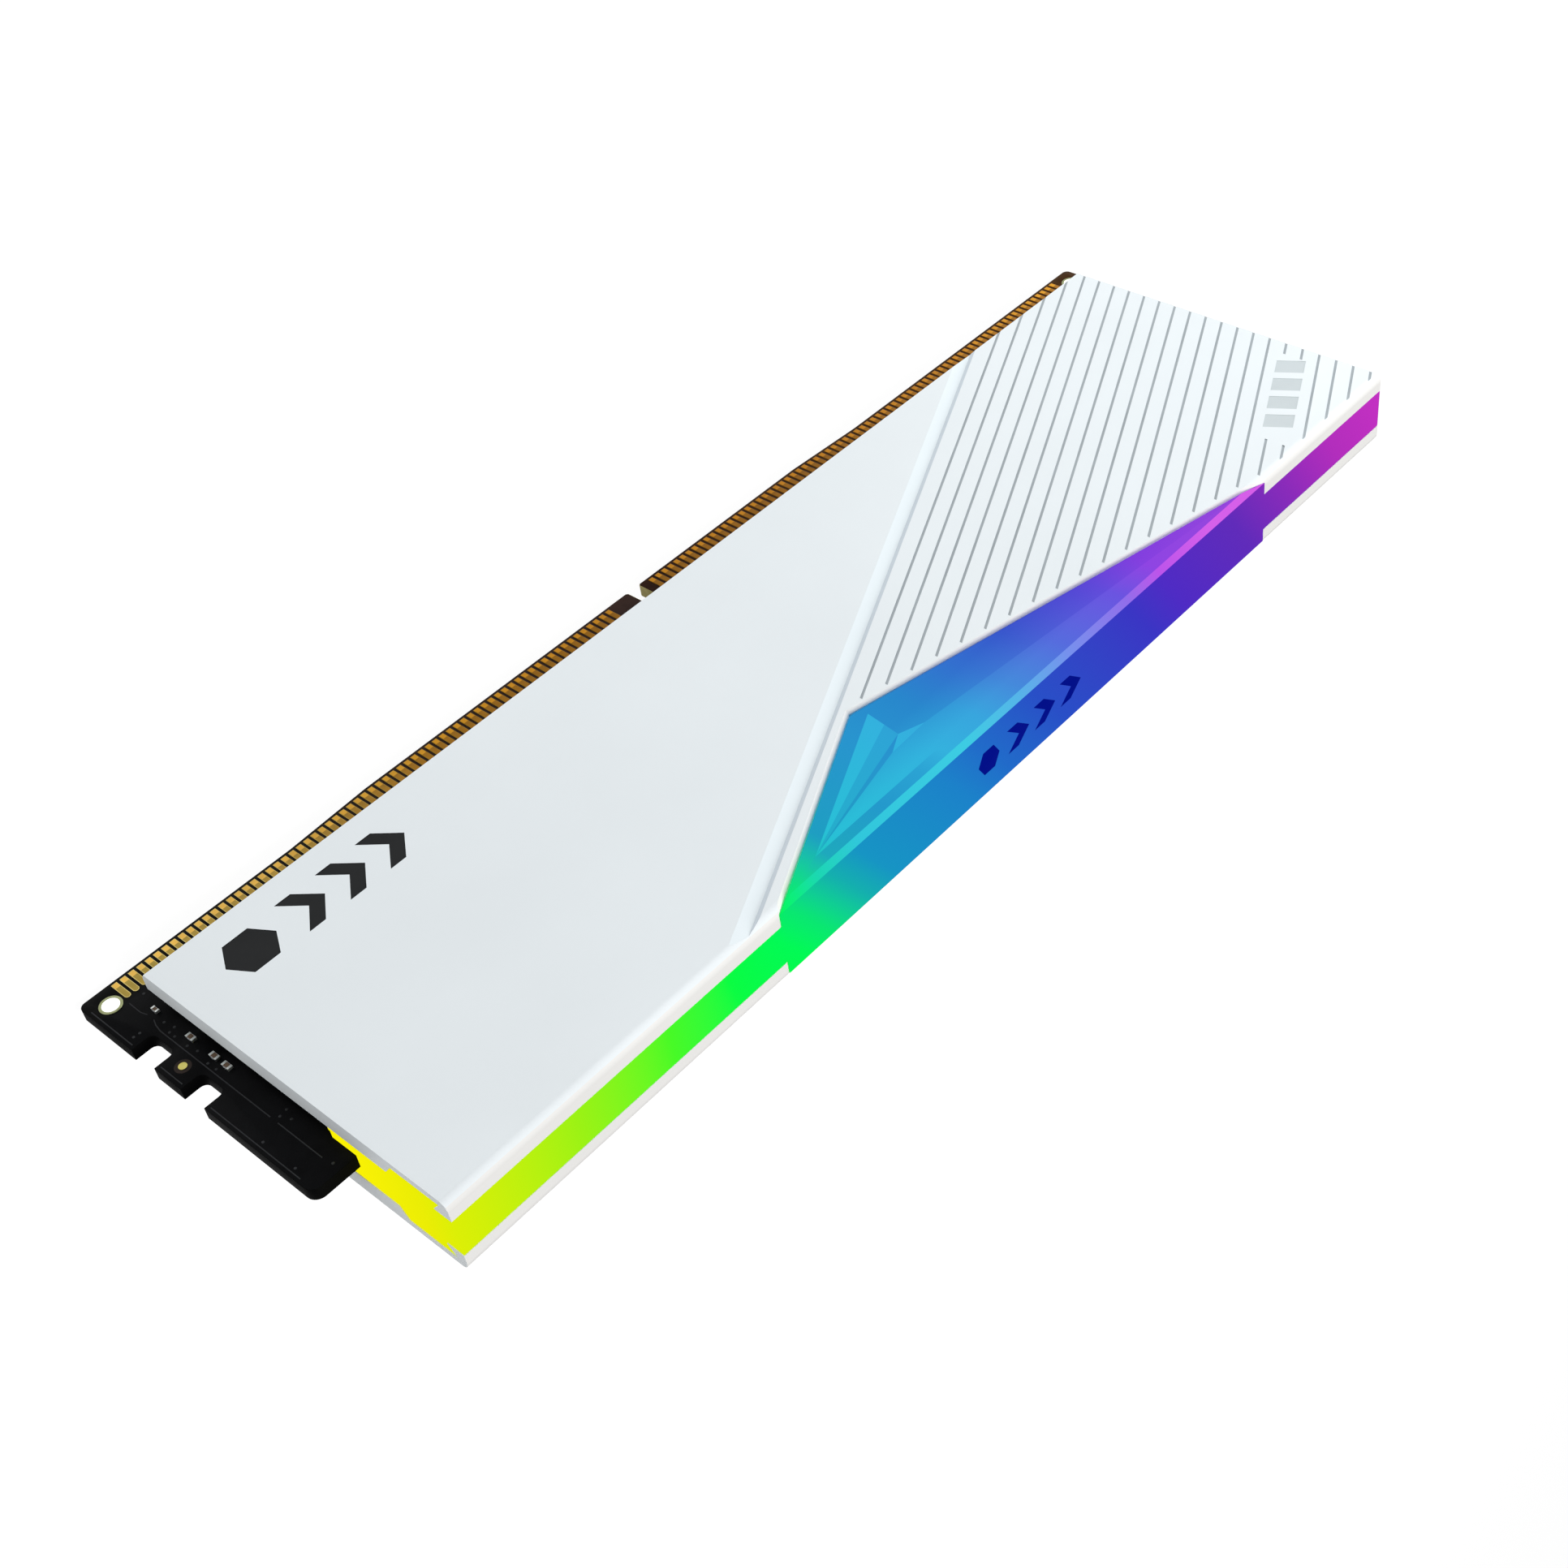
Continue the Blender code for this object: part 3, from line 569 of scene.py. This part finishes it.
def crystal(bm, side):
    """Faceted wedge that fills the plate's window, as a closed body with a slot index per facet."""
    inner = side * (BAR_CORE - 0.34)
    shoulder = side * (PLATE_OUTER - 0.5)
    face = side * PLATE_OUTER

    def vert(x, z, y):
        return bm.verts.new((x * MM, y * MM, z * MM))

    a_in, n_in, f_in = vert(APEX[0], APEX[1], inner), vert(RIGHT, TOP, inner), vert(LEFT, TOP, inner)
    a0, n0, f0 = vert(APEX[0], APEX[1], shoulder), vert(RIGHT, TOP, shoulder), vert(LEFT, TOP, shoulder)
    a1 = vert(5.80, 32.25, face)
    n1 = vert(25.1, TOP - 0.5, face)
    f1 = vert(-38.6, TOP - 0.5, face)
    p1 = vert(5.12, 33.29, face)
    q1 = vert(5.21, 35.2, face - side * 0.22)
    p2 = vert(5.30, 36.81, face - side * 0.40)
    p3 = vert(3.00, 37.87, face - side * 0.22)
    p4 = vert(7.26, 37.83, face - side * 0.50)
    p5 = vert(20.75, 41.07, face - side * 0.02)
    p6, p7 = vert(4.6, TOP - 0.5, face), vert(4.0, 41.05, face - side * 0.02)
    # Facet groups take lighter and darker tones of the glow: painted highlights and painted shade.
    groups = (
        (0, ((a_in, n_in, f_in), (a_in, a0, n0, n_in), (a_in, f_in, f0, a0),
             (n_in, n0, f0, f_in))),
        (1, ((n0, n1, p6, f1, f0),)),
        (2, ((a0, a1, n1, n0), (a0, f0, f1, a1))),
        (3, ((a1, p1, p5), (a1, p5, n1), (p2, p4, p5))),
        (4, ((p1, q1, p5), (p2, p3, p4))),
        (5, ((p4, p3, p5), (p3, p7, p5), (p3, f1, p7), (p7, f1, p6))),
        (6, ((a1, f1, p1), (p1, f1, p3), (p1, p3, q1), (q1, p3, p2))),
        (7, ((n1, p5, p7), (n1, p7, p6))),
        (8, ((q1, p2, p5),)),
    )
    for slot_index, faces in groups:
        for corners in faces:
            bm.faces.new(corners).material_index = slot_index


bm = bmesh.new()
loft(bm, "x", [(bar_profile(), -BAR_HALF), (bar_profile(), BAR_HALF)])
GLOWS = (BAR_GLOW, STRIPE_GLOW, SHADED_FACET_GLOW, SHADED_FACET_GLOW, LIT_FACET_GLOW, SHADE_TO_LIGHT_LOW_GLOW, SHADE_TO_LIGHT_HIGH_GLOW, RIM_GLOW,
         MID_GLOW)
bar = made("light_bar_body", bm, *GLOWS, NAVY)
for side in (-1, 1):
    bm = bmesh.new()
    crystal(bm, side)
    combine(bar, made("wedge", bm, *GLOWS), "UNION")
for start in (BAR_HALF - 3.0, -BAR_HALF + 0.05):
    for side in (-1, 1):
        bm = bmesh.new()
        outline = [(start, BAR_FOOT + 0.05), (start + 2.95, BAR_FOOT + 0.05),
                   (start + 2.95, BOARD_TOP + 0.6), (start, BOARD_TOP + 0.6)]
        loft(bm, "y", [(outline, side * 0.69), (outline, side * 1.89)])
        combine(bar, made("block", bm, BAR_GLOW), "UNION")
bm = bmesh.new()
for shape in generic_mark(-12.6, 0.0, 14.6, 2.9):
    loft(bm, "z", [(shape, TOP - 0.02), (shape, TOP + 0.2)])
combine(bar, made("bar_mark", bm, NAVY), "DIFFERENCE")
shade(bar, 12)
piece(bar, "light_bar", "light_bar")


# ---------------------------------------------------------------- circuit board
def edge_height(x):
    if x < -21.5:
        return 0.5 * min(1.0, (-21.5 - x) / 9.0)
    if x > 35.5:
        return 0.5 * min(1.0, (x - 35.5) / 9.0)
    return 0.0


def board_outline():
    right = arc(BOARD_HALF - 0.6, 1.1, 0.6, -90, 0, 8)
    floor, r = BOARD_HALF - 2.12, 0.65
    for low, high in ((8.05, 11.15), (14.72, 17.78)):
        right.append((BOARD_HALF, low))
        right += arc(floor + r, low + r, r, 270, 180, 8)
        right += arc(floor + r, high - r, r, 180, 90, 8)
        right.append((BOARD_HALF, high))
    right += arc(BOARD_HALF - 1.05, BOARD_TOP - 1.05, 1.05, 0, 90, 10)
    left = [(-x, z) for x, z in reversed(right)]
    slot = KEY_WIDTH / 2
    bottom = [(-30.5, 0.5), (-21.5, 0.0), (KEY_X - slot - 0.2, 0.0), (KEY_X - slot, 0.2)]
    bottom += arc(KEY_X, 4.0 - slot, slot, 180, 0, 16)
    bottom += [(KEY_X + slot, 0.2), (KEY_X + slot + 0.2, 0.0), (35.5, 0.0), (44.5, 0.5)]
    return bottom + right + left


bm = bmesh.new()
loft(bm, "y", [(board_outline(), -BOARD_FACE), (board_outline(), BOARD_FACE)])
board = made("board_body", bm, MASK)
bm = bmesh.new()
for side in (-1, 1):
    hole = arc(side * HOLE_X, HOLE_Z, HOLE_RADIUS, 0, 360, 40)[:-1]
    loft(bm, "y", [(hole, -2.0), (hole, 2.0)])
combine(board, made("holes", bm, MASK), "DIFFERENCE")
bevel(board, 0.05, 2, 40)
board.data.materials.append(BOARD_SIDE)
board.data.materials.append(BARE_EDGE)
# Side faces take the near-black edge colour, partly their own and partly painted shade. The key notch shows
# bare laminate.
for polygon in board.data.polygons:
    if abs(polygon.normal.y) < 0.95:
        x, _, z = polygon.center / MM
        polygon.material_index = 2 if abs(x - KEY_X) < 1.2 and z < 4.2 else 1
shade(board, 30)
piece(board, "board", "board")


def ridge(bm, points, width, side, height=0.02):
    """A covered trace: a low ridge with sloping sides along a polyline of (x, z)."""
    base, crest = [], []
    for i, point in enumerate(points):
        here = Vector(point)
        before = Vector(points[max(i - 1, 0)])
        after = Vector(points[min(i + 1, len(points) - 1)])
        run = (after - before).normalized()
        across_run = Vector((-run.y, run.x)) * width / 2
        base.append((here - across_run, here + across_run))
        crest.append((here - across_run * 0.5, here + across_run * 0.5))
    low, high = side * (BOARD_FACE + SKIN), side * (BOARD_FACE + height)
    outline = [a for a, _ in base] + [b for _, b in reversed(base)]
    top = [a for a, _ in crest] + [b for _, b in reversed(crest)]
    loft(bm, "y", [([tuple(p) for p in outline], low), ([tuple(p) for p in top], high)])


def dot(bm, x, z, radius, side, height=0.02):
    base = arc(x, z, radius, 0, 360, 14)[:-1]
    top = arc(x, z, radius * 0.6, 0, 360, 14)[:-1]
    loft(bm, "y", [(base, side * (BOARD_FACE + SKIN)), (top, side * (BOARD_FACE + height))])


# Covered traces and vias on each end of the board, seen from the front at the +X end.
TRACE_RUNS = (
    (((66.3, 1.9), (66.3, 7.7)), 0.10),
    (((66.25, 11.5), (66.25, 14.4)), 0.10),
    (((66.3, 18.2), (66.3, 29.4)), 0.10),
    (((63.78, 3.7), (63.80, 5.3), (63.6, 6.0)), 0.09),
    (((63.6, 6.9), (63.85, 7.5), (64.0, 8.3), (64.0, 22.8)), 0.10),
    (((64.0, 23.75), (64.0, 29.2)), 0.10),
)
VIAS = (
    (62.41, 3.81), (63.25, 7.82), (63.04, 8.95), (63.63, 9.1), (63.63, 9.8), (63.6, 11.46),
    (63.42, 12.59), (63.7, 14.34), (63.65, 15.39), (65.17, 7.12), (65.74, 7.06), (62.75, 23.24),
    (63.11, 24.3), (63.49, 23.35), (63.83, 30.27), (65.87, 24.27), (65.9, 28.29),
)
for label, side in (("front", -1), ("back", 1)):
    bm = bmesh.new()
    for end in (-1, 1):
        for points, width in TRACE_RUNS:
            ridge(bm, [(end * x, z) for x, z in points], width, side)
        for x, z in VIAS:
            dot(bm, end * x, z, 0.13, side)
    traces = made("traces_" + label, bm, TRACE)
    shade(traces, 20)
    piece(traces, "board")
    ring_outer = arc(TAB_PAD_X, TAB_PAD_Z, 0.72, 0, 360, 32)[:-1]
    bm = bmesh.new()
    loft(bm, "y", [(ring_outer, side * (BOARD_FACE + at)) for at in (SKIN, 0.008)])
    piece(made("pad_ring_" + label, bm, PAD_RING), "board")


# ---------------------------------------------------------------- gold contacts
def build_contacts(name, first_x, count, direction, side, node):
    """Separate plated fingers, each with a bright lead-in, a rounded head and a pale rim."""
    bm = bmesh.new()
    half, rim, head = 0.285, 0.05, 3.1
    for i in range(count):
        x = first_x + direction * i * PITCH
        foot = edge_height(x) + 0.33
        split = foot + 0.65
        base, cap = [], []
        for grow, outline in ((0.0, base), (rim, cap)):
            w = half - grow
            outline += [(x - w, foot + grow), (x + w, foot + grow), (x + w, split), (x + w, head - 0.22)]
            outline += [(x + w * 0.6, head - 0.05 - grow), (x, head - grow),
                        (x - w * 0.6, head - 0.05 - grow)]
            outline += [(x - w, head - 0.22), (x - w, split)]
        rings = []
        for outline, off in ((base, SKIN), (base, 0.030), (cap, 0.045)):
            at = side * (BOARD_FACE + off)
            rings.append([bm.verts.new(place("y", at, p, q)) for p, q in outline])
        bm.faces.new(rings[0]).material_index = 2
        for low, high in zip(rings, rings[1:]):
            for k in range(len(base)):
                m = (k + 1) % len(base)
                bm.faces.new((low[k], low[m], high[m], high[k])).material_index = 2
        top = rings[2]
        bm.faces.new((top[0], top[1], top[2], top[8])).material_index = 0
        bm.faces.new(top[2:9]).material_index = 1
    fingers = made(name, bm, GOLD_BRIGHT, GOLD_DEEP, GOLD_RIM)
    shade(fingers, 12)
    return piece(fingers, "contacts", node)


for label, side in (("front", -1), ("back", 1)):
    build_contacts("fingers_%s_short" % label, CONTACT_FIRST, SHORT_COUNT, -1, side,
                   "contacts_%s_short" % label)
    build_contacts("fingers_%s_long" % label, -CONTACT_FIRST, LONG_COUNT, 1, side,
                   "contacts_%s_long" % label)

# ---------------------------------------------------------------- small parts on the board
def block(bm, x0, x1, y0, y1, z0, z1, slot, edge=0.02):
    """A box with softened edges on the face turned away from the board."""
    base = [(x0, z0), (x1, z0), (x1, z1), (x0, z1)]
    cap = [(x0 + edge, z0 + edge), (x1 - edge, z0 + edge),
           (x1 - edge, z1 - edge), (x0 + edge, z1 - edge)]
    shoulder = y1 - (edge if y1 > y0 else -edge)
    loft(bm, "y", [(base, y0), (base, shoulder), (cap, y1)], slot)


def chip_part(name, body, film, slot_name, upright):
    """A resistor or capacitor in its CAD node's box: body, overcoat film and two tinned ends."""
    low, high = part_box(name)
    x0, x1, z0, z1 = low[0] / MM, high[0] / MM, low[2] / MM, high[2] / MM
    side = -1 if high[1] < 0 else 1
    near = side * min(abs(low[1]), abs(high[1])) / MM
    far = side * max(abs(low[1]), abs(high[1])) / MM
    inset = side * 0.03
    bm = bmesh.new()
    if upright:
        end = (z1 - z0) * 0.25
        block(bm, x0 + 0.01, x1 - 0.01, near, far - inset, z0 + 0.03, z1 - 0.03, 0, 0.01)
        block(bm, x0 + 0.05, x1 - 0.03, far - inset, far - inset * 0.4, z0 + end, z1 - end, 1, 0.005)
        block(bm, x0, x1, near, far, z0, z0 + end, 2)
        block(bm, x0, x1, near, far, z1 - end, z1, 2)
    else:
        end = (x1 - x0) * 0.25
        block(bm, x0 + 0.03, x1 - 0.03, near, far - inset, z0 + 0.01, z1 - 0.01, 0, 0.01)
        block(bm, x0 + end, x1 - end, far - inset, far - inset * 0.4, z0 + 0.03, z1 - 0.03, 1, 0.005)
        block(bm, x0, x0 + end, near, far, z0, z1, 2)
        block(bm, x1 - end, x1, near, far, z0, z1, 2)
    return piece(made(name + "_body", bm, body, film, TIN), slot_name, name)


for number in range(1, 5):
    chip_part("resistor_%d" % number, ALUMINA, CERAMIC, "resistor", True)
for number in range(1, 7):
    chip_part("capacitor_%d" % number, CERAMIC, CERAMIC, "capacitor", False)


def eyelet(name, cx, node):
    """A plated hole: a barrel through the board, coloured white with a painted glow, and a dull land on each
    face.
    """
    land, face, bore, outer = BOARD_FACE + 0.02, BOARD_FACE + 0.06, 0.77, 1.02
    profile = [(bore, -face + 0.02), (bore + 0.03, -face), (outer - 0.03, -face), (outer, -face + 0.02),
               (outer, -land), (0.84, -land), (0.84, land), (outer, land), (outer, face - 0.02),
               (outer - 0.03, face), (bore + 0.03, face), (bore, face - 0.02)]
    steps = 40
    bm = bmesh.new()
    rings = []
    for i in range(steps):
        a = 2 * math.pi * i / steps
        rings.append([bm.verts.new(((cx + r * math.cos(a)) * MM, y * MM, (HOLE_Z + r * math.sin(a)) * MM))
                      for r, y in profile])
    count = len(profile)
    for i in range(steps):
        a, b = rings[i], rings[(i + 1) % steps]
        for k in range(count):
            m = (k + 1) % count
            bm.faces.new((a[k], b[k], b[m], a[m])).material_index = 1 if k in (5, count - 1) else 0
    made_eyelet = made(name, bm, LAND, BARREL_PAINTED_GLOW)
    shade(made_eyelet, 30)
    return piece(made_eyelet, "lands", node)


eyelet("plated_hole_right", HOLE_X, "eyelet_right")
eyelet("plated_hole_left", -HOLE_X, "eyelet_left")

# ---------------------------------------------------------------- carried-over parts
FINISH = (
    ("dram_", MOULD), ("thermal_pad_", GAP_PAD), ("spd_", MOULD), ("pmic", MOULD), ("led_driver", MOULD),
    ("led_", RESIN), ("inductor_", MOULD), ("test_pad_", GOLD_PAD),
)
for node_name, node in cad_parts.items():
    for prefix, finish in FINISH:
        if node_name.startswith(prefix):
            node.data.materials.clear()
            node.data.materials.append(finish)
            break

# ---------------------------------------------------------------- floor, light, camera
bm = bmesh.new()
bmesh.ops.create_grid(bm, x_segments=8, y_segments=8, size=4.0)
floor = made("floor", bm)
floor_mat, _, _, floor_node = shader("floor_white", (0.38, 0.38, 0.38), 0.0, 0.9, 0.0)
floor_node.inputs["Emission Color"].default_value = (1.0, 1.0, 1.0, 1.0)
floor_node.inputs["Emission Strength"].default_value = 0.96
floor.data.materials.append(floor_mat)
floor.location = (0.0, 0.0, -0.0005)

world = bpy.data.worlds.new("studio")
world.use_nodes = True
nodes, links = world.node_tree.nodes, world.node_tree.links
background = nodes["Background"]
background.inputs["Color"].default_value = (0.97, 0.985, 1.0, 1.0)
background.inputs["Strength"].default_value = 0.15
seen = nodes.new("ShaderNodeBackground")
seen.inputs["Color"].default_value = (1.0, 1.0, 1.0, 1.0)
seen.inputs["Strength"].default_value = 1.0
path = nodes.new("ShaderNodeLightPath")
mix = nodes.new("ShaderNodeMixShader")
links.new(path.outputs["Is Camera Ray"], mix.inputs["Fac"])
links.new(background.outputs["Background"], mix.inputs[1])
links.new(seen.outputs["Background"], mix.inputs[2])
links.new(mix.outputs["Shader"], nodes["World Output"].inputs["Surface"])
bpy.context.scene.world = world


def softbox(name, place_at, aim, size, power, colour):
    lamp = bpy.data.lights.new(name, "AREA")
    lamp.shape = "DISK"
    lamp.size = size
    lamp.energy = power
    lamp.color = colour
    obj = bpy.data.objects.new(name, lamp)
    bpy.context.scene.collection.objects.link(obj)
    obj.location = place_at
    obj.rotation_mode = "QUATERNION"
    obj.rotation_quaternion = (Vector(aim) - Vector(place_at)).to_track_quat("-Z", "Y")


softbox("overhead", (0.0, -0.12, 0.62), (0.0, 0.0, 0.02), 0.40, 3.4, (1.0, 1.0, 1.0))
softbox("far_fill", (-0.25, -0.25, 0.07), (0.0, 0.0, 0.03), 0.20, 0.42, (0.93, 0.98, 1.0))
softbox("tip_fill", (-0.13, -0.06, 0.05), (-0.062, 0.0, 0.02), 0.05, 0.016, (0.93, 1.0, 1.0))

camera_data = bpy.data.cameras.new("camera")
camera = bpy.data.objects.new("camera", camera_data)
bpy.context.scene.collection.objects.link(camera)
camera_data.sensor_width = 36.0
camera_data.lens = 51.07
camera_data.shift_x = -0.0154
camera_data.shift_y = -0.0156
camera_data.clip_start = 0.01
camera_data.clip_end = 20.0
# The camera's place and turn, solved against the photo.
CAMERA_AT = (0.106413, -0.130697, 0.135798)
look = Vector((-0.498809, 0.672842, -0.546327)).normalized()
across = Vector((-0.661236, 0.112081, 0.741758)).normalized()
down = look.cross(across).normalized()
across = down.cross(look).normalized()
turn = Matrix((across, -down, -look)).transposed()
camera.matrix_world = Matrix.Translation(CAMERA_AT) @ turn.to_4x4()
bpy.context.scene.camera = camera
bpy.context.scene.view_settings.view_transform = "Standard"
bpy.context.scene.view_settings.look = "None"
